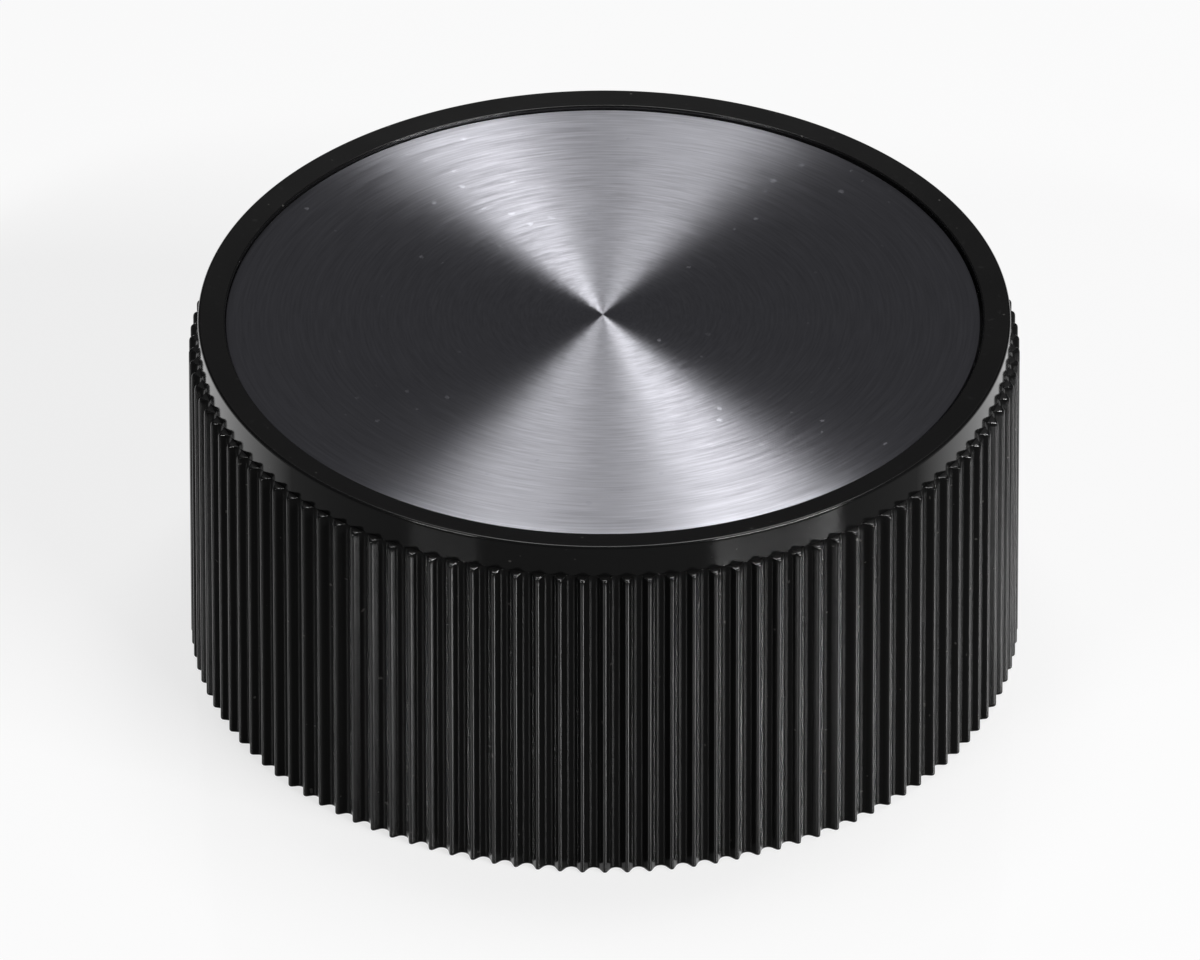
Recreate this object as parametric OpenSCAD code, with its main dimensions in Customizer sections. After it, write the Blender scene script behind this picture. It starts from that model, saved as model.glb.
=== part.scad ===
// Push-on control knob: a ribbed plastic moulding with a spun aluminium disc let into its top.
// Millimetres, +Z up along the shaft's axis, origin at the middle of the foot.

/* [Skirt] */
// Diameter over the ribs at the foot
foot_d = 45; // [36:0.5:60]
// Height from the foot to the rim
height = 20.35; // [17:0.05:26]
// Mould draft of the skirt, inside and outside, in degrees
draft = 1.35; // [0.5:0.05:2]
// Thickness of the skirt behind the ribs
skirt_wall = 2; // [1.5:0.1:3]
// Thickness of the top under the disc
top_wall = 2; // [1.5:0.1:3]
// Chamfer of the ribs at the foot
foot_chamfer = 0.15; // [0.05:0.05:0.3]

/* [Ribs] */
// Number of ribs around the skirt
rib_count = 120; // [90:1:140]
// Height of a rib above the bottom of the flutes beside it
rib_depth = 0.45; // [0.3:0.05:0.5]
// Radius of the rounding along both sides of a rib's crest
crest_r = 0.24; // [0.18:0.01:0.28]
// Width of the narrow flat left along a rib's crest
crest_flat = 0.08; // [0.06:0.02:0.12]
// Radius of the bottom of a flute
flute_r = 0.15; // [0.1:0.01:0.18]
// Radius of the rounded upper end of a rib
rib_end_r = 0.36; // [0.2:0.02:0.4]

/* [Collar and rim] */
// Height of the smooth collar between the ribs and the rim
collar_h = 1.75; // [1:0.05:3]
// Step from the bottom of the flutes in to the collar
collar_step = 0.03; // [0.02:0.01:0.1]
// Width of the rim around the recess
rim_w = 1.44; // [1:0.02:2.5]
// Radius of the rim's outer edge
rim_r = 0.35; // [0.1:0.05:0.6]
// Chamfer of the rim's inner edge
rim_chamfer = 0.08; // [0.05:0.01:0.2]

/* [Disc] */
// Thickness of the aluminium disc
disc_t = 0.8; // [0.5:0.1:1.2]
// Depth of the disc's face below the rim
disc_sink = 0.36; // [0.1:0.02:0.8]
// Gap around the disc in its recess
disc_gap = 0.1; // [0.05:0.01:0.2]
// Chamfer of the disc's upper edge
disc_chamfer = 0.1; // [0.05:0.01:0.2]
// Thickness of the adhesive film under the disc
film_t = 0.1; // [0.05:0.01:0.2]
// Distance of the film's edge inside the disc's edge
film_inset = 0.5; // [0.2:0.1:2]

/* [Shaft socket] */
// Diameter of the shaft
shaft_d = 6; // [5:0.1:6.4]
// Size of the shaft across its flat
shaft_flat = 4.5; // [4.3:0.1:5]
// Gap around the shaft in the D-shaped socket
shaft_gap = 0.05; // [0.02:0.01:0.1]
// Gap around the shaft in the round lead-in
lead_gap = 0.25; // [0.22:0.01:0.4]
// Length of the round lead-in
lead_l = 4; // [2:0.5:5]
// Chamfer of the lead-in's mouth
lead_chamfer = 0.4; // [0.2:0.1:0.8]
// Length of the D-shaped socket
socket_l = 8; // [6:0.5:9]

/* [Hub and webs] */
// Diameter of the hub
hub_d = 12; // [10:0.5:16]
// Height of the hub's end above the foot
hub_lift = 3; // [1:0.5:4]
// Number of webs between the hub and the skirt
web_count = 4; // [3:1:6]
// Thickness of a web
web_t = 1.2; // [0.8:0.1:2]
// Height of the webs' lower edge above the foot
web_lift = 9; // [6:0.5:12]

/* [Shaft spring] */
// Thickness of the spring leaf
spring_t = 0.35; // [0.2:0.05:0.5]
// Width of the spring leaf
spring_w = 3.6; // [3:0.1:3.8]
// Rise of the leaf's bow
spring_bow = 0.5; // [0.3:0.05:0.6]
// Distance that the bow reaches past the socket's flat
spring_grip = 0.1; // [0.05:0.01:0.2]
// Gap behind and beside the leaf in its slot
spring_gap = 0.04; // [0.02:0.01:0.1]
// Gap at each end of the leaf in its slot
spring_end_gap = 0.2; // [0.1:0.05:0.5]

/* [Hidden] */
$fn = 96;
flute_fn = 32;
over = 0.5;

foot_r = foot_d / 2;
rib_top = height - collar_h;
recess_r = collar_r(height) - rim_w;
disc_r = recess_r - disc_gap;
film_r = disc_r - film_inset;
disc_top = height - disc_sink;
film_top = disc_top - disc_t;
recess_floor = film_top - film_t;
ceiling = recess_floor - top_wall;

// A rib's rounding is centred a little inside its crest. Straight flanks run from it to the round of the flute's
// bottom, cutting both rounds slightly.
half_pitch = rib_r(height / 2) * tan(180 / rib_count);
crest_x = rib_depth - sqrt(pow(crest_r, 2) - pow(crest_flat / 2, 2));
rounds_x = crest_x - flute_r;
flank_lean = asin((crest_r + flute_r) / norm([rounds_x, half_pitch])) + atan2(rounds_x, half_pitch);
slip = 0.99;

lead_r = shaft_d / 2 + lead_gap;
socket_r = shaft_d / 2 + shaft_gap;
socket_flat = shaft_flat - shaft_d / 2 + shaft_gap;
socket_foot = hub_lift + lead_l;
leaf_front = socket_flat - spring_grip;
slot_back = leaf_front + spring_bow + spring_t + spring_gap;
slot_w = spring_w + 2 * spring_gap;
leaf_l = socket_l - 2 * spring_end_gap;
leaf_r = (pow(leaf_l / 2, 2) + pow(spring_bow, 2)) / (2 * spring_bow);
leaf_angle = asin(leaf_l / 2 / leaf_r);

// Radii of the drafted surfaces at height z: over the ribs, at the flutes' floor, the collar and the inside.
function rib_r(z) = foot_r - z * tan(draft);
function root_r(z) = rib_r(z) - rib_depth;
function collar_r(z) = root_r(z) - collar_step;
function inside_r(z) = root_r(z) - skirt_wall;

// Centre of a round of radius r whose top is at height z, on the inner side of a drafted wall.
function round_centre(wall_r, z, r) = [wall_r - r / cos(draft), z - r];

// Point where that round leaves the drafted wall.
function round_foot(centre, r) = centre + r * [cos(draft), sin(draft)];

// Half section of the moulding, from the axis out.
module shell_section() {
    end_c = round_centre(rib_r(rib_top - rib_end_r), rib_top, rib_end_r);
    rim_c = round_centre(collar_r(height - rim_r), height, rim_r);
    union() {
        polygon([
            [inside_r(0), 0],
            [rib_r(0) - foot_chamfer, 0],
            [rib_r(foot_chamfer), foot_chamfer],
            round_foot(end_c, rib_end_r),
            [end_c[0], rib_top],
            [collar_r(rib_top), rib_top],
            round_foot(rim_c, rim_r),
            [rim_c[0], height],
            [recess_r + rim_chamfer, height],
            [recess_r, height - rim_chamfer],
            [recess_r, recess_floor],
            [0, recess_floor],
            [0, ceiling],
            [inside_r(ceiling), ceiling]
        ]);
        translate(end_c) circle(rib_end_r);
        translate(rim_c) circle(rim_r);
    }
}

// Section of one flute, from its floor at x = 0 outwards, between the rounded crests of two ribs.
module flute_section() {
    across = [cos(flank_lean), -sin(flank_lean)];
    low = [flute_r, 0] - slip * flute_r * across;
    high = [crest_x, half_pitch] + slip * crest_r * across;
    mouth = half_pitch - crest_flat / 4;
    side = [low, high, [high[0], mouth], [rib_depth + over, mouth]];
    difference() {
        union() {
            translate([flute_r, 0]) circle(flute_r, $fn = flute_fn);
            polygon([each side, for (i = [3 : -1 : 0]) [side[i][0], -side[i][1]]]);
        }
        for (side = [-1, 1])
            translate([crest_x, side * half_pitch]) circle(crest_r, $fn = flute_fn);
    }
}

// Flutes between the ribs, leaning in with the draft.
module flutes() {
    flute_l = (rib_top + 2 * over) / cos(draft);
    for (i = [0 : rib_count - 1])
        rotate((i + 0.5) * 360 / rib_count)
            translate([root_r(-over), 0, -over])
                rotate([0, -draft, 0])
                    linear_extrude(flute_l) flute_section();
}

// Solid hub and the webs that carry it.
module hub() {
    translate([0, 0, hub_lift]) cylinder(d = hub_d, h = ceiling + over - hub_lift);
    web_l = inside_r(ceiling) + over;
    for (i = [0 : web_count - 1])
        rotate((i + 0.5) * 360 / web_count)
            translate([0, -web_t / 2, web_lift])
                cube([web_l, web_t, ceiling + over - web_lift]);
}

// Chamfered round lead-in, D-shaped socket and the slot for the spring leaf, all open to the foot.
module shaft_socket() {
    translate([0, 0, hub_lift - over])
        cylinder(r1 = lead_r + lead_chamfer + over, r2 = lead_r, h = lead_chamfer + over);
    translate([0, 0, hub_lift]) cylinder(r = lead_r, h = lead_l);
    translate([0, 0, socket_foot - over]) linear_extrude(socket_l + over) {
        difference() {
            circle(socket_r);
            translate([-shaft_d, socket_flat]) square(2 * shaft_d);
        }
        translate([-slot_w / 2, 0]) square([slot_w, slot_back]);
    }
}

module knob_body() {
    color([0.05, 0.05, 0.055])
        difference() {
            union() {
                rotate_extrude() shell_section();
                hub();
            }
            shaft_socket();
            flutes();
        }
}

module inlay_disc() {
    color([0.76, 0.77, 0.8])
        rotate_extrude()
            polygon([
                [0, film_top],
                [disc_r, film_top],
                [disc_r, disc_top - disc_chamfer],
                [disc_r - disc_chamfer, disc_top],
                [0, disc_top]
            ]);
}

module adhesive_film() {
    color([0.85, 0.83, 0.76])
        translate([0, 0, recess_floor]) cylinder(r = film_r, h = film_t);
}

// The leaf's bow faces the shaft, and its two ends bear on the back of the slot.
module shaft_spring() {
    color([0.5, 0.51, 0.53])
        translate([0, leaf_front + leaf_r + spring_t, socket_foot + socket_l / 2])
            rotate([0, 90, 0])
                translate([0, 0, -spring_w / 2])
                    rotate([0, 0, -90 - leaf_angle])
                        rotate_extrude(angle = 2 * leaf_angle)
                            translate([leaf_r, 0]) square([spring_t, spring_w]);
}

knob_body();
inlay_disc();
adhesive_film();
shaft_spring();
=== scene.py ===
"""Looks of the control knob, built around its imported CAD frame.

Metres, +Z up along the shaft's axis, origin at the middle of the foot. The camera looks along +Y.
"""

import math

import bmesh
import bpy
from mathutils import Matrix, Vector


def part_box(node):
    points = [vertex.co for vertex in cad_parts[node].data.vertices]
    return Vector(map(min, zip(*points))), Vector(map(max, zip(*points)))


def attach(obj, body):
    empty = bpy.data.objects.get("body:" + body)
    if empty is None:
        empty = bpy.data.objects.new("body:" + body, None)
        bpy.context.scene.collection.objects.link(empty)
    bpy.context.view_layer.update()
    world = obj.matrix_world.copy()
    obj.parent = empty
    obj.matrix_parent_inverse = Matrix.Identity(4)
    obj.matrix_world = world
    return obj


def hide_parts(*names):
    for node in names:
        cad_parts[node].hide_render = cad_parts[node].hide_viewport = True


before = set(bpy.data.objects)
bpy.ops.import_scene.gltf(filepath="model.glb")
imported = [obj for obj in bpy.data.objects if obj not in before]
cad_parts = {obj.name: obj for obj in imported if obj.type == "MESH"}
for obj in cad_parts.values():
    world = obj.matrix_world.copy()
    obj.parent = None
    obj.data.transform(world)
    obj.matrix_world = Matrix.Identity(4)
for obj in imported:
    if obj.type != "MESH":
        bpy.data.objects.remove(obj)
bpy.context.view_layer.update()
scene = bpy.context.scene
scene.view_settings.view_transform = "Standard"

MM = 0.001

# Skirt and top, from the CAD frame's boxes and the same driving dimensions as its source
KNOB_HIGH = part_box("knob_body")[1]
DISC_LOW, DISC_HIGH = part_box("inlay_disc")
FILM_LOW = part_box("adhesive_film")[0]
TAPER = math.tan(math.radians(1.35))
FOOT_ROUND = 0.15 * MM
FOOT_R = KNOB_HIGH.x + FOOT_ROUND * TAPER
HEIGHT = KNOB_HIGH.z
RIBS = 120
RIB_DEPTH = 0.45 * MM
RIB_END = 0.36 * MM
COLLAR_H = 1.75 * MM
COLLAR_STEP = 0.03 * MM
RIM_EDGE = 0.08 * MM
SKIRT_WALL = 2 * MM
TOP_WALL = 2 * MM
DISC_GAP = 0.1 * MM
RIB_TOP = HEIGHT - COLLAR_H
RECESS_R = DISC_HIGH.x + DISC_GAP
RECESS_FLOOR = FILM_LOW.z
CEILING = RECESS_FLOOR - TOP_WALL

# Forms that follow the photograph where it differs from the source: section and upper ends of the ribs,
# rim, edge and place of the disc
CREST_R = 0.13 * MM
FLANK_LEAN = math.radians(56)
END_BLEND = 0.2 * MM
LEAST_BLEND = 0.0001 * MM
CAP_RISE = RIB_DEPTH + END_BLEND
NO_CAP = 1
RIM_ROUND = 0.16 * MM
RIM_DISH = 0.14 * MM
DISC_EDGE = 0.06 * MM
DISC_SHIFT = -0.07 * MM

# Hub, webs and shaft socket, as in the source
HUB_R = 6 * MM
HUB_LIFT = 3 * MM
WEBS = 4
WEB_T = 1.2 * MM
WEB_LIFT = 9 * MM
LEAD_R = 3.25 * MM
LEAD_L = 4 * MM
LEAD_CHAMFER = 0.4 * MM
SOCKET_R = 3.05 * MM
SOCKET_FLAT = 1.55 * MM
SOCKET_L = 8 * MM
SLOT_W = 3.68 * MM
SLOT_BACK = 2.34 * MM

# Small edges of the underside. A round has two facets, which meet at the share EASE of its width from
# the corner.
HOLLOW_FILLET = 0.4 * MM
HOLLOW_EDGE = 0.15 * MM
HUB_EDGE = 0.25 * MM
WEB_EDGE = 0.2 * MM
EASE = 0.3

# Fineness of the meshes. Support rows lie close beside a round and keep its shading off the plain face.
CREST_STEPS = 6
FLUTE_STEPS = 7
HALF_COLUMNS = CREST_STEPS + FLUTE_STEPS + 1
COLLAR_COLUMNS = 8 * RIBS
HOLLOW_COLUMNS = 2 * RIBS
HUB_COLUMNS = 96
SOCKET_STEPS = 60
DISC_COLUMNS = 360
DISC_RINGS = 24
EDGE_STEPS = 4
ROUND_STEPS = 10
SUPPORT = 0.03 * MM
SHARP = math.radians(40)

# Reach of the booleans' solids past each other, and how close columns and heights count as the same
OVER = 0.5 * MM
COLUMN_SLACK = 0.001
HEIGHT_SLACK = 0.01 * MM

# Sockets of a Mix node that mixes colours
MIX_COLOURS = slice(6, 8)
MIX_RESULT = 2

# Looks: noises are (scale, detail, sometimes roughness), spans (low, high) and bumps (strength, distance)
NOISE_MIDDLE = (0.3, 0.7)

# Plastic: colours and noises. The walls' black is lighter than the upward faces' black: painted light that
# lifts the shade in the flutes.
WALL_BLACK_WITH_PAINTED_LIGHT = (0.007, 0.007, 0.007)
RIM_BLACK = (0.0036, 0.0034, 0.0033)
SPECK_GREY = (0.07, 0.068, 0.065)
CLOUD = (260, 3)
GRAIN = (9000, 2)
DUST = (2600, 1)
SPECKS = (3000, 0)
SPECK_SPAN = (0.835, 0.865)
DUST_SPAN = (0.68, 0.8)
# Least share of the darker top black where the cloud noise thins it. The rest of that face keeps the walls'
# painted light.
LEAST_TOP_WITHOUT_PAINTED_LIGHT = 0.6
GRAIN_BUMP = (0.025, 0.01 * MM)

# Plastic: roughness
WALL_ROUGH = 0.1
RIM_ROUGH = 0.36
CLOUD_ROUGH = (-0.02, 0.03)
DUST_ROUGH = 0.12

# Plastic: spans of the normal's z, of the way from a crest (0) to a flute (0.5), of height, of radius
# and of the slant at which it is seen (0 straight on, 1 edge on)
# Upward faces over this span keep the darker black, without the walls' painted light.
TOP_WITHOUT_PAINTED_LIGHT_UPWARD = (0.8, 0.98)
RIM_UPWARD = (0.94, 0.98)
ROUND_UPWARD = (0.3, 0.5)
CREST_SIDE = (0.08, 0.13)
COLLAR_FOOT = (RIB_TOP, RIB_TOP + 0.05 * MM)
RECESS_LIP = (RECESS_R + 0.02 * MM, RECESS_R + 0.05 * MM)
SLANT = (0.46, 0.74)

# Plastic: specular levels
CREST_GLOSS = 0.13
FLUTE_GLOSS = 0.025
RIB_END_GLOSS = 1
COLLAR_GLOSS = 0.05
RECESS_GLOSS = 0.45
RIM_GLOSS = 0.5
SLANT_GLOSS = 0.9

# Aluminium: the turning lines' noise is stretched, long around the axis and close together outwards
DULL_ALUMINIUM = (0.61, 0.61, 0.66)
BRIGHT_ALUMINIUM = (0.77, 0.77, 0.83)
LINES_AROUND = 5
LINES_OUTWARD = 7000
LINES = (1, 3, 0.6)
LINE_ROUGH = (0.29, 0.36)
LINE_BUMP = (0.15, 0.004 * MM)
NEAR_AXIS = 0.02 * MM
PITS = (1900, 0)
PIT_SPAN = (0.78, 0.84)
PIT_ROUGH = 0.3

# Film and spring, whose rolled lines are a noise stretched by these factors
FLECKS = (1500, 3)
DARK_FILM = (0.66, 0.63, 0.55)
PALE_FILM = (0.78, 0.76, 0.70)
FILM_ROUGH = (0.45, 0.65)
ROLLED_STRETCH = (9000, 400, 300)
ROLLED_LINES = (1, 3)
ROLLED_BUMP = (0.1, 0.005 * MM)
DARK_STEEL = (0.40, 0.41, 0.43)
BRIGHT_STEEL = (0.55, 0.56, 0.58)
STEEL_ROUGH = (0.25, 0.4)

# Studio. Lamps are (name, direction from the knob, distance, width, depth, radiance).
FLOOR_R = 3.0
FLOOR_COLUMNS = 96
FLOOR_GLOW = 0.7
SURROUNDINGS = (0.04, 0.04, 0.042, 1)
LAMPS = [
    ("top_left", (-0.136, 0.25, 0.93), 1.0, 0.24, 0.36, 4.2),
    ("top_right", (0.177, 0.25, 0.93), 1.0, 0.30, 0.36, 4.5),
    ("top_spot", (0.28, 0.25, 0.93), 0.98, 0.09, 0.36, 3.4),
    ("key", (0.634, -0.547, 0.565), 0.9, 0.5, 0.045, 68),
    ("fill", (-0.593, -0.593, 0.565), 0.9, 0.25, 0.045, 28),
]

# Camera, fitted to the photograph
CAMERA_DISTANCE = 423.5 * MM
CAMERA_ELEVATION = math.radians(35.49)
CAMERA_AIM = Vector((-0.234 * MM, 0, 9.21 * MM))
CAMERA_ROLL = math.radians(-0.063)
SENSOR_WIDTH = 36
LENS = 236.06
CLIP_START = 0.01


def rib_r(z):
    """Radius over the ribs at height z."""
    return FOOT_R - z * TAPER


def root_r(z):
    """Radius at the bottom of the flutes."""
    return rib_r(z) - RIB_DEPTH


def collar_r(z):
    """Radius of the smooth collar."""
    return root_r(z) - COLLAR_STEP


def inside_r(z):
    """Radius of the hollow underside."""
    return root_r(z) - SKIRT_WALL


def quarter_turn(steps):
    """Angles of a quarter turn in that many steps, with both ends."""
    return [math.pi / 2 * i / steps for i in range(steps + 1)]


def polar(r, turn, z):
    """Point at that radius, angle and height."""
    return (r * math.cos(turn), r * math.sin(turn), z)


def ring(r, z, columns):
    """Points of a level ring."""
    return [polar(r, math.tau * i / columns, z) for i in range(columns)]


def ring_faces(start, count, rows):
    """Quads of a closed tube whose rows of points follow each other from index start."""
    faces = []
    for row in range(rows - 1):
        low = start + row * count
        high = low + count
        for i in range(count):
            j = (i + 1) % count
            faces.append((low + i, low + j, high + j, high + i))
    return faces


def new_object(name, mesh):
    """Object of that mesh, in the scene."""
    obj = bpy.data.objects.new(name, mesh)
    scene.collection.objects.link(obj)
    return obj


def mesh_from(name, verts, faces):
    """Mesh from its points and faces."""
    mesh = bpy.data.meshes.new(name)
    mesh.from_pydata(verts, [], faces)
    mesh.validate()
    return mesh


def revolved(name, profile, columns):
    """Closed solid of revolution. The profile runs up from the axis to the axis as (radius, height)."""
    verts = [(0, 0, profile[0][1])]
    for r, z in profile[1:-1]:
        verts += ring(r, z, columns)
    verts.append((0, 0, profile[-1][1]))
    rows = len(profile) - 2
    faces = ring_faces(1, columns, rows)
    top = 1 + (rows - 1) * columns
    last = len(verts) - 1
    for i in range(columns):
        j = (i + 1) % columns
        faces.append((0, 1 + j, 1 + i))
        faces.append((last, top + i, top + j))
    return mesh_from(name, verts, faces)


def prism(name, outline, low, high):
    """Upright solid with that outline, given anticlockwise."""
    count = len(outline)
    verts = [(x, y, low) for x, y in outline] + [(x, y, high) for x, y in outline]
    faces = ring_faces(0, count, 2)
    faces.append(tuple(reversed(range(count))))
    faces.append(tuple(range(count, 2 * count)))
    return mesh_from(name, verts, faces)


def combine(mesh, tool, operation):
    """Mesh after a boolean with the tool's mesh."""
    base = new_object("base", mesh)
    cutter = new_object("cutter", tool)
    step = base.modifiers.new("combine", "BOOLEAN")
    step.operation = operation
    step.solver = "EXACT"
    step.object = cutter
    graph = bpy.context.evaluated_depsgraph_get()
    result = bpy.data.meshes.new_from_object(base.evaluated_get(graph))
    bpy.data.objects.remove(base)
    bpy.data.objects.remove(cutter)
    return result


def rib_section():
    """Section of a rib and its flute over one pitch: a round crest, straight flanks and a round flute.

    Each point is (share of the half pitch, height above the flute's bottom). The flute's radius takes up
    what the crest and the flanks leave of the pitch.
    """
    half_pitch = rib_r(HEIGHT / 2) * math.tan(math.pi / RIBS)
    rounds = (half_pitch - RIB_DEPTH / math.tan(FLANK_LEAN)) / math.tan(FLANK_LEAN / 2)
    flute_r = rounds - CREST_R
    half = []
    for i in range(CREST_STEPS + 1):
        turn = FLANK_LEAN * i / CREST_STEPS
        lift = RIB_DEPTH - CREST_R * (1 - math.cos(turn))
        half.append((CREST_R * math.sin(turn) / half_pitch, lift))
    for i in range(FLUTE_STEPS + 1):
        turn = FLANK_LEAN * (1 - i / FLUTE_STEPS)
        lift = flute_r * (1 - math.cos(turn))
        half.append((1 - flute_r * math.sin(turn) / half_pitch, lift))
    mirrored = [(2 - share, lift) for share, lift in reversed(half[1:-1])]
    return half + mirrored


def under_cap(lift, cap):
    """Height of a rib's section under the cap that rounds its upper end: a smooth minimum of both."""
    blend = max(END_BLEND * min(cap / CAP_RISE, 1), LEAST_BLEND)
    share = min(max(0.5 + 0.5 * (cap - lift) / blend, 0), 1)
    return cap + (lift - cap) * share - blend * share * (1 - share)


def rib_rows():
    """Rows of the ribs, from foot to upper end: (height, radius of the flutes, height of the cap)."""
    rows = []
    for lean in quarter_turn(EDGE_STEPS):
        z = FOOT_ROUND * (1 - math.cos(lean))
        cut = FOOT_ROUND * (1 - math.sin(lean))
        rows.append((z, root_r(z) - cut, NO_CAP))
    end_start = RIB_TOP - RIB_END
    for z in (FOOT_ROUND + SUPPORT, HEIGHT / 2, end_start - SUPPORT):
        rows.append((z, root_r(z), NO_CAP))
    for lean in quarter_turn(ROUND_STEPS):
        z = end_start + RIB_END * math.sin(lean)
        r = root_r(z) - COLLAR_STEP * (1 - math.cos(lean))
        rows.append((z, r, CAP_RISE * math.cos(lean)))
    return rows


def collar_rows():
    """Rows of the collar, rim and recess wall: (height, radius)."""
    rim_c = collar_r(HEIGHT - RIM_ROUND) - RIM_ROUND
    below = HEIGHT - RIM_ROUND - SUPPORT
    rows = [(RIB_TOP + SUPPORT, collar_r(RIB_TOP + SUPPORT)), (below, collar_r(below))]
    for lean in quarter_turn(ROUND_STEPS):
        z = HEIGHT - RIM_ROUND * (1 - math.sin(lean))
        rows.append((z, rim_c + RIM_ROUND * math.cos(lean)))
    inner = HEIGHT - RIM_DISH
    fall = RIM_DISH / (rim_c - RECESS_R - RIM_EDGE)
    rows.append((HEIGHT - fall * SUPPORT, rim_c - SUPPORT))
    rows.append((inner + fall * SUPPORT, RECESS_R + RIM_EDGE + SUPPORT))
    for lean in quarter_turn(EDGE_STEPS):
        z = inner - RIM_EDGE * (1 - math.cos(lean))
        rows.append((z, RECESS_R + RIM_EDGE * (1 - math.sin(lean))))
    rows.append((inner - RIM_EDGE - SUPPORT, RECESS_R))
    rows.append((RECESS_FLOOR, RECESS_R))
    return rows


def stitch(lower, turns, upper):
    """Faces from the ribs' top row, whose columns have those angles, to the collar's even row above it."""
    shares = [turn / math.tau * COLLAR_COLUMNS for turn in turns]
    faces = []
    at = 0
    for i in range(COLLAR_COLUMNS):
        run = [lower + at]
        while at + 1 < len(turns) and shares[at + 1] < i + 1 + COLUMN_SLACK:
            at += 1
            run.append(lower + at)
        if i == COLLAR_COLUMNS - 1:
            run.append(lower)
        faces.append((*run, upper + (i + 1) % COLLAR_COLUMNS, upper + i))
    return faces


def outside():
    """Points and faces of the moulding's outside, and the number of columns over its ribs.

    It runs from the foot over the ribs, collar and rim to the recess floor.
    """
    section = rib_section()
    columns = [(math.pi / RIBS * (2 * rib + share), lift) for rib in range(RIBS) for share, lift in section]
    count = len(columns)
    verts = []
    ribs = rib_rows()
    for z, r, cap in ribs:
        for turn, lift in columns:
            verts.append(polar(r + under_cap(lift, cap), turn, z))
    faces = ring_faces(0, count, len(ribs))
    start = len(verts)
    collar = collar_rows()
    for z, r in collar:
        verts += ring(r, z, COLLAR_COLUMNS)
    faces += ring_faces(start, COLLAR_COLUMNS, len(collar))
    faces += stitch(start - count, [turn for turn, lift in columns], start)
    middle = len(verts)
    verts.append((0, 0, RECESS_FLOOR))
    last = middle - COLLAR_COLUMNS
    for i in range(COLLAR_COLUMNS):
        faces.append((middle, last + i, last + (i + 1) % COLLAR_COLUMNS))
    return verts, faces, count


def socket_outline():
    """Outline of the D-shaped socket with its spring slot, anticlockwise."""
    start = math.asin(SOCKET_FLAT / SOCKET_R)
    outline = []
    for i in range(SOCKET_STEPS + 1):
        turn = math.pi - start + (math.pi + 2 * start) * i / SOCKET_STEPS
        outline.append((SOCKET_R * math.cos(turn), SOCKET_R * math.sin(turn)))
    outline.append((SLOT_W / 2, SOCKET_FLAT))
    outline.append((SLOT_W / 2, SLOT_BACK))
    outline.append((-SLOT_W / 2, SLOT_BACK))
    outline.append((-SLOT_W / 2, SOCKET_FLAT))
    return outline


def web_mesh(turn):
    """Mesh of one web, from the axis out into the skirt, with rounded lower edges."""
    side = WEB_T / 2
    section = [
        (-side, CEILING + OVER),
        (-side, WEB_LIFT + WEB_EDGE),
        (-side + EASE * WEB_EDGE, WEB_LIFT + EASE * WEB_EDGE),
        (-side + WEB_EDGE, WEB_LIFT),
        (side - WEB_EDGE, WEB_LIFT),
        (side - EASE * WEB_EDGE, WEB_LIFT + EASE * WEB_EDGE),
        (side, WEB_LIFT + WEB_EDGE),
        (side, CEILING + OVER),
    ]
    web = prism("web", section, 0, inside_r(CEILING) + OVER)
    outward = Matrix(((0, 0, 1, 0), (1, 0, 0, 0), (0, 1, 0, 0), (0, 0, 0, 1)))
    web.transform(Matrix.Rotation(turn, 4, "Z") @ outward)
    return web


def hollow():
    """Mesh of the space under the moulding: its open underside, around the hub and webs, with the socket."""
    profile = [
        (0, -2 * OVER),
        (inside_r(0) + HOLLOW_EDGE, -2 * OVER),
        (inside_r(0) + HOLLOW_EDGE, 0),
        (inside_r(HOLLOW_EDGE), HOLLOW_EDGE),
        (inside_r(CEILING - HOLLOW_FILLET), CEILING - HOLLOW_FILLET),
        (inside_r(CEILING) - EASE * HOLLOW_FILLET, CEILING - EASE * HOLLOW_FILLET),
        (inside_r(CEILING) - HOLLOW_FILLET, CEILING),
        (0, CEILING),
    ]
    space = revolved("hollow", profile, HOLLOW_COLUMNS)
    hub_profile = [
        (0, HUB_LIFT),
        (HUB_R - HUB_EDGE, HUB_LIFT),
        (HUB_R - EASE * HUB_EDGE, HUB_LIFT + EASE * HUB_EDGE),
        (HUB_R, HUB_LIFT + HUB_EDGE),
        (HUB_R, CEILING + OVER),
        (0, CEILING + OVER),
    ]
    space = combine(space, revolved("hub", hub_profile, HUB_COLUMNS), "DIFFERENCE")
    for i in range(WEBS):
        space = combine(space, web_mesh(math.tau * (i + 0.5) / WEBS), "DIFFERENCE")
    lead_profile = [
        (0, HUB_LIFT - OVER),
        (LEAD_R + LEAD_CHAMFER + OVER, HUB_LIFT - OVER),
        (LEAD_R, HUB_LIFT + LEAD_CHAMFER),
        (LEAD_R, HUB_LIFT + LEAD_L),
        (0, HUB_LIFT + LEAD_L),
    ]
    space = combine(space, revolved("lead", lead_profile, HUB_COLUMNS), "UNION")
    socket_foot = HUB_LIFT + LEAD_L - OVER
    socket = prism("socket", socket_outline(), socket_foot, socket_foot + OVER + SOCKET_L)
    return combine(space, socket, "UNION")


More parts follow.
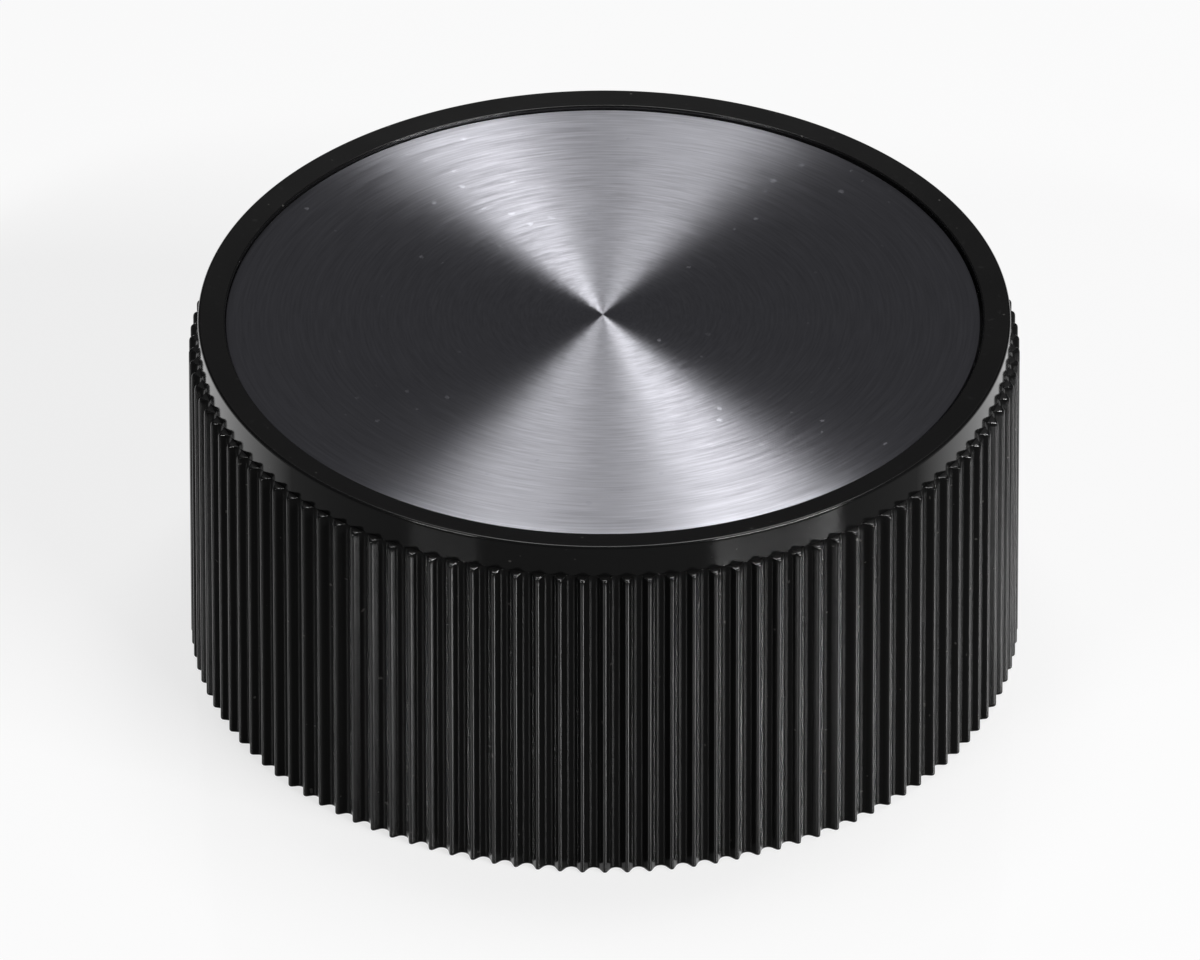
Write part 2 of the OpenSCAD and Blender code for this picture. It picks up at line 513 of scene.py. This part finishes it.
def knob_mesh():
    """Closed mesh of the whole moulding: its outside and the hollow, joined by faces at the foot."""
    verts, faces, count = outside()
    bm = bmesh.new()
    bm.from_mesh(mesh_from("outside", verts, faces))
    bm.verts.ensure_lookup_table()
    foot = [bm.verts[i] for i in range(count)]
    bm.from_mesh(hollow())
    bmesh.ops.delete(bm, geom=[v for v in bm.verts if v.co.z < -OVER], context="VERTS")
    rims = {v for e in bm.edges if e.is_boundary for v in e.verts if abs(v.co.z) < HEIGHT_SLACK}
    inner = sorted(rims - set(foot), key=lambda v: math.atan2(v.co.y, v.co.x) % math.tau)
    for j in range(HOLLOW_COLUMNS):
        outer = [foot[(HALF_COLUMNS * j + i) % count] for i in range(HALF_COLUMNS + 1)]
        bm.faces.new([inner[j], *outer, inner[(j + 1) % HOLLOW_COLUMNS]])
    bmesh.ops.recalc_face_normals(bm, faces=bm.faces)
    for face in bm.faces:
        face.smooth = True
    mesh = bpy.data.meshes.new("knob")
    bm.to_mesh(mesh)
    bm.free()
    mesh.set_sharp_from_angle(angle=SHARP)
    return mesh


def disc_mesh():
    """Closed mesh of the disc, with an eased upper edge."""
    r = DISC_HIGH.x
    flat_r = r - DISC_EDGE
    profile = [(0, DISC_LOW.z), (r - DISC_EDGE / 2, DISC_LOW.z), (r, DISC_LOW.z + DISC_EDGE / 2)]
    for lean in quarter_turn(EDGE_STEPS):
        z = DISC_HIGH.z - DISC_EDGE * (1 - math.sin(lean))
        profile.append((r - DISC_EDGE * (1 - math.cos(lean)), z))
    for i in range(1, DISC_RINGS):
        profile.append((flat_r * (1 - i / DISC_RINGS), DISC_HIGH.z))
    profile.append((0, DISC_HIGH.z))
    mesh = revolved("disc", profile, DISC_COLUMNS)
    mesh.transform(Matrix.Translation((DISC_SHIFT, 0, 0)))
    mesh.shade_smooth()
    mesh.set_sharp_from_angle(angle=SHARP)
    return mesh


class Nodes:
    """A material's nodes, made and joined in short calls."""

    def __init__(self, name):
        self.material = bpy.data.materials.new(name)
        self.material.use_nodes = True
        self.tree = self.material.node_tree
        self.shader = self.tree.nodes["Principled BSDF"]

    def add(self, kind, **values):
        """New node of that kind."""
        node = self.tree.nodes.new(kind)
        for key, value in values.items():
            setattr(node, key, value)
        return node

    def join(self, source, target):
        """Link from an output to an input."""
        self.tree.links.new(source, target)

    def math(self, operation, first, second=None):
        """Result of an operation on one or two outputs or numbers."""
        node = self.add("ShaderNodeMath", operation=operation)
        for socket, value in zip(node.inputs, (first, second)):
            if isinstance(value, (int, float)):
                socket.default_value = value
            elif value is not None:
                self.join(value, socket)
        return node.outputs[0]

    def parts(self, vector):
        """The x, y and z of a vector."""
        node = self.add("ShaderNodeSeparateXYZ")
        self.join(vector, node.inputs[0])
        return node.outputs

    def length(self, x, y):
        """Distance from the axis."""
        squares = self.math("ADD", self.math("MULTIPLY", x, x), self.math("MULTIPLY", y, y))
        return self.math("SQRT", squares)

    def noise(self, vector, scale, detail, roughness=0.5):
        """Noise at that place."""
        node = self.add("ShaderNodeTexNoise")
        node.inputs["Scale"].default_value = scale
        node.inputs["Detail"].default_value = detail
        node.inputs["Roughness"].default_value = roughness
        self.join(vector, node.inputs["Vector"])
        return node.outputs["Fac"]

    def spread(self, value, span, low, high):
        """The value's span, spread from low to high and held there beyond it."""
        node = self.add("ShaderNodeMapRange")
        for socket, number in zip(node.inputs[1:5], (*span, low, high)):
            socket.default_value = number
        self.join(value, node.inputs[0])
        return node.outputs[0]

    def blend(self, share, first, second):
        """Mix of two colours, each given by its numbers or an output."""
        node = self.add("ShaderNodeMix", data_type="RGBA")
        for socket, value in zip(node.inputs[MIX_COLOURS], (first, second)):
            if isinstance(value, tuple):
                socket.default_value = (*value, 1)
            else:
                self.join(value, socket)
        self.join(share, node.inputs[0])
        return node.outputs[MIX_RESULT]

    def bump(self, height, strength, distance):
        """Bump on the shader's normal."""
        node = self.add("ShaderNodeBump")
        node.inputs["Strength"].default_value = strength
        node.inputs["Distance"].default_value = distance
        self.join(height, node.inputs["Height"])
        self.join(node.outputs["Normal"], self.shader.inputs["Normal"])


def plastic():
    """Black moulded plastic: walls that gloss at a slant, glossier edges and rim, grain and some dust. The
    walls' black is lifted as painted light in the shaded flutes, and upward faces keep a darker black.
    """
    m = Nodes("black_plastic")
    here = m.add("ShaderNodeTexCoord")
    place = here.outputs["Object"]
    upward = m.parts(here.outputs["Normal"])[2]
    x, y, z = m.parts(place)
    cloud = m.noise(place, *CLOUD)

    # Painted light: walls take a lighter black that lifts the shade in the flutes, and upward faces keep the
    # darker rim black. The cloud noise makes this split uneven at random.
    uneven_top_without_painted_light = m.spread(cloud, NOISE_MIDDLE, LEAST_TOP_WITHOUT_PAINTED_LIGHT, 1)
    top_without_painted_light = m.math("MULTIPLY", m.spread(upward, TOP_WITHOUT_PAINTED_LIGHT_UPWARD, 0, 1), uneven_top_without_painted_light)
    clean = m.blend(top_without_painted_light, WALL_BLACK_WITH_PAINTED_LIGHT, RIM_BLACK)
    specks = m.spread(m.noise(place, *SPECKS), SPECK_SPAN, 0, 1)
    m.join(m.blend(specks, clean, SPECK_GREY), m.shader.inputs["Base Color"])

    dust = m.spread(m.noise(place, *DUST), DUST_SPAN, 0, DUST_ROUGH)
    uneven = m.math("ADD", m.spread(cloud, NOISE_MIDDLE, *CLOUD_ROUGH), dust)
    dull = m.spread(upward, RIM_UPWARD, WALL_ROUGH, RIM_ROUGH)
    m.join(m.math("ADD", uneven, dull), m.shader.inputs["Roughness"])

    turns = m.math("MULTIPLY", m.math("ARCTAN2", y, x), RIBS / math.tau)
    from_crest = m.math("PINGPONG", turns, 0.5)
    ribs = m.spread(from_crest, CREST_SIDE, CREST_GLOSS, FLUTE_GLOSS)
    ribs = m.math("MAXIMUM", ribs, m.spread(upward, ROUND_UPWARD, 0, RIB_END_GLOSS))
    ribs = m.math("MULTIPLY", ribs, m.spread(z, COLLAR_FOOT, 1, 0))
    gloss = m.math("ADD", ribs, m.spread(z, COLLAR_FOOT, 0, COLLAR_GLOSS))
    gloss = m.math("MAXIMUM", gloss, m.spread(m.length(x, y), RECESS_LIP, RECESS_GLOSS, 0))
    gloss = m.math("MAXIMUM", gloss, m.spread(upward, ROUND_UPWARD, 0, RIM_GLOSS))
    slant = m.add("ShaderNodeLayerWeight").outputs["Facing"]
    gloss = m.math("MAXIMUM", gloss, m.spread(slant, SLANT, 0, SLANT_GLOSS))
    m.join(gloss, m.shader.inputs["Specular IOR Level"])

    m.bump(m.noise(place, *GRAIN), *GRAIN_BUMP)
    return m.material


def aluminium():
    """Spun aluminium: fine broken turning lines round the middle, with a few pits."""
    m = Nodes("spun_aluminium")
    place = m.add("ShaderNodeTexCoord").outputs["Object"]
    x, y = m.parts(place)[:2]
    reach = m.length(x, y)
    safe = m.math("MAXIMUM", reach, NEAR_AXIS)
    around = m.add("ShaderNodeCombineXYZ")
    m.join(m.math("MULTIPLY", m.math("DIVIDE", x, safe), LINES_AROUND), around.inputs[0])
    m.join(m.math("MULTIPLY", m.math("DIVIDE", y, safe), LINES_AROUND), around.inputs[1])
    m.join(m.math("MULTIPLY", reach, LINES_OUTWARD), around.inputs[2])
    lines = m.noise(around.outputs[0], *LINES)

    colour = m.blend(m.spread(lines, NOISE_MIDDLE, 0, 1), DULL_ALUMINIUM, BRIGHT_ALUMINIUM)
    m.join(colour, m.shader.inputs["Base Color"])
    pits = m.spread(m.noise(place, *PITS), PIT_SPAN, 0, PIT_ROUGH)
    rough = m.math("ADD", m.spread(lines, NOISE_MIDDLE, *LINE_ROUGH), pits)
    m.join(rough, m.shader.inputs["Roughness"])
    m.shader.inputs["Metallic"].default_value = 1
    m.shader.inputs["Anisotropic"].default_value = 1.0
    m.shader.inputs["Anisotropic Rotation"].default_value = 0.25
    tangent = m.add("ShaderNodeTangent", direction_type="RADIAL", axis="Z")
    m.join(tangent.outputs[0], m.shader.inputs["Tangent"])
    m.bump(lines, *LINE_BUMP)
    return m.material


def adhesive():
    """Milky double-sided film."""
    m = Nodes("adhesive")
    place = m.add("ShaderNodeTexCoord").outputs["Object"]
    fleck = m.noise(place, *FLECKS)
    m.join(m.blend(fleck, DARK_FILM, PALE_FILM), m.shader.inputs["Base Color"])
    m.join(m.spread(fleck, NOISE_MIDDLE, *FILM_ROUGH), m.shader.inputs["Roughness"])
    return m.material


def steel():
    """Rolled spring steel, with fine lines along the leaf."""
    m = Nodes("spring_steel")
    place = m.add("ShaderNodeTexCoord").outputs["Object"]
    stretch = m.add("ShaderNodeVectorMath", operation="MULTIPLY")
    stretch.inputs[1].default_value = ROLLED_STRETCH
    m.join(place, stretch.inputs[0])
    lines = m.noise(stretch.outputs[0], *ROLLED_LINES)
    m.join(m.blend(lines, DARK_STEEL, BRIGHT_STEEL), m.shader.inputs["Base Color"])
    m.join(m.spread(lines, NOISE_MIDDLE, *STEEL_ROUGH), m.shader.inputs["Roughness"])
    m.shader.inputs["Metallic"].default_value = 1
    m.bump(lines, *ROLLED_BUMP)
    return m.material


def dress(piece, material):
    """The piece's only material."""
    piece.data.materials.clear()
    piece.data.materials.append(material)


def softbox(name, direction, distance, width, depth, radiance):
    """Rectangular lamp in that direction from the knob, facing it, its width level."""
    data = bpy.data.lights.new(name, "AREA")
    data.shape = "RECTANGLE"
    data.size = width
    data.size_y = depth
    data.energy = radiance * math.pi * width * depth
    lamp = bpy.data.objects.new(name, data)
    towards = Vector(direction).normalized()
    lamp.location = towards * distance
    lamp.rotation_mode = "QUATERNION"
    lamp.rotation_quaternion = towards.to_track_quat("Z", "Y")
    lamp.visible_camera = False
    scene.collection.objects.link(lamp)


def floor_paper():
    """Pale glossy floor that glows a little where it is seen, and is clear from below."""
    m = Nodes("floor_paper")
    m.shader.inputs["Base Color"].default_value = (0.5, 0.5, 0.5, 1)
    m.shader.inputs["Roughness"].default_value = 0.1
    m.shader.inputs["IOR"].default_value = 3.2
    rays = m.add("ShaderNodeLightPath").outputs
    seen = m.math("MAXIMUM", rays["Is Camera Ray"], rays["Is Glossy Ray"])
    seen = m.math("MAXIMUM", seen, rays["Is Transmission Ray"])
    m.shader.inputs["Emission Color"].default_value = (1, 1, 1, 1)
    m.join(m.math("MULTIPLY", seen, FLOOR_GLOW), m.shader.inputs["Emission Strength"])
    back = m.add("ShaderNodeNewGeometry").outputs["Backfacing"]
    clear = m.add("ShaderNodeBsdfTransparent")
    sided = m.add("ShaderNodeMixShader")
    m.join(back, sided.inputs[0])
    m.join(m.shader.outputs[0], sided.inputs[1])
    m.join(clear.outputs[0], sided.inputs[2])
    m.join(sided.outputs[0], m.tree.nodes["Material Output"].inputs["Surface"])
    return m.material


def studio():
    """Pale floor, soft lamps and dim surroundings."""
    paper = mesh_from("floor", ring(FLOOR_R, 0, FLOOR_COLUMNS), [tuple(range(FLOOR_COLUMNS))])
    floor = new_object("floor", paper)
    dress(floor, floor_paper())
    world = bpy.data.worlds.new("studio")
    world.use_nodes = True
    world.node_tree.nodes["Background"].inputs["Color"].default_value = SURROUNDINGS
    scene.world = world
    for lamp in LAMPS:
        softbox(*lamp)


def photo_camera():
    """Camera at the photograph's place."""
    data = bpy.data.cameras.new("camera")
    data.sensor_width = SENSOR_WIDTH
    data.lens = LENS
    data.clip_start = CLIP_START
    camera = bpy.data.objects.new("camera", data)
    away = Vector((0, -math.cos(CAMERA_ELEVATION), math.sin(CAMERA_ELEVATION)))
    tilt = Matrix.Rotation(math.pi / 2 - CAMERA_ELEVATION, 4, "X")
    turn = tilt @ Matrix.Rotation(CAMERA_ROLL, 4, "Z")
    camera.matrix_world = Matrix.Translation(CAMERA_AIM + away * CAMERA_DISTANCE) @ turn
    scene.collection.objects.link(camera)
    scene.camera = camera


photo_camera()
studio()

knob = new_object("knob", knob_mesh())
dress(knob, plastic())
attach(knob, "root")
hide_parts("knob_body")

disc = new_object("spun_disc", disc_mesh())
dress(disc, aluminium())
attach(disc, "root")
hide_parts("inlay_disc")

dress(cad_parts["adhesive_film"], adhesive())
dress(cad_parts["shaft_spring"], steel())
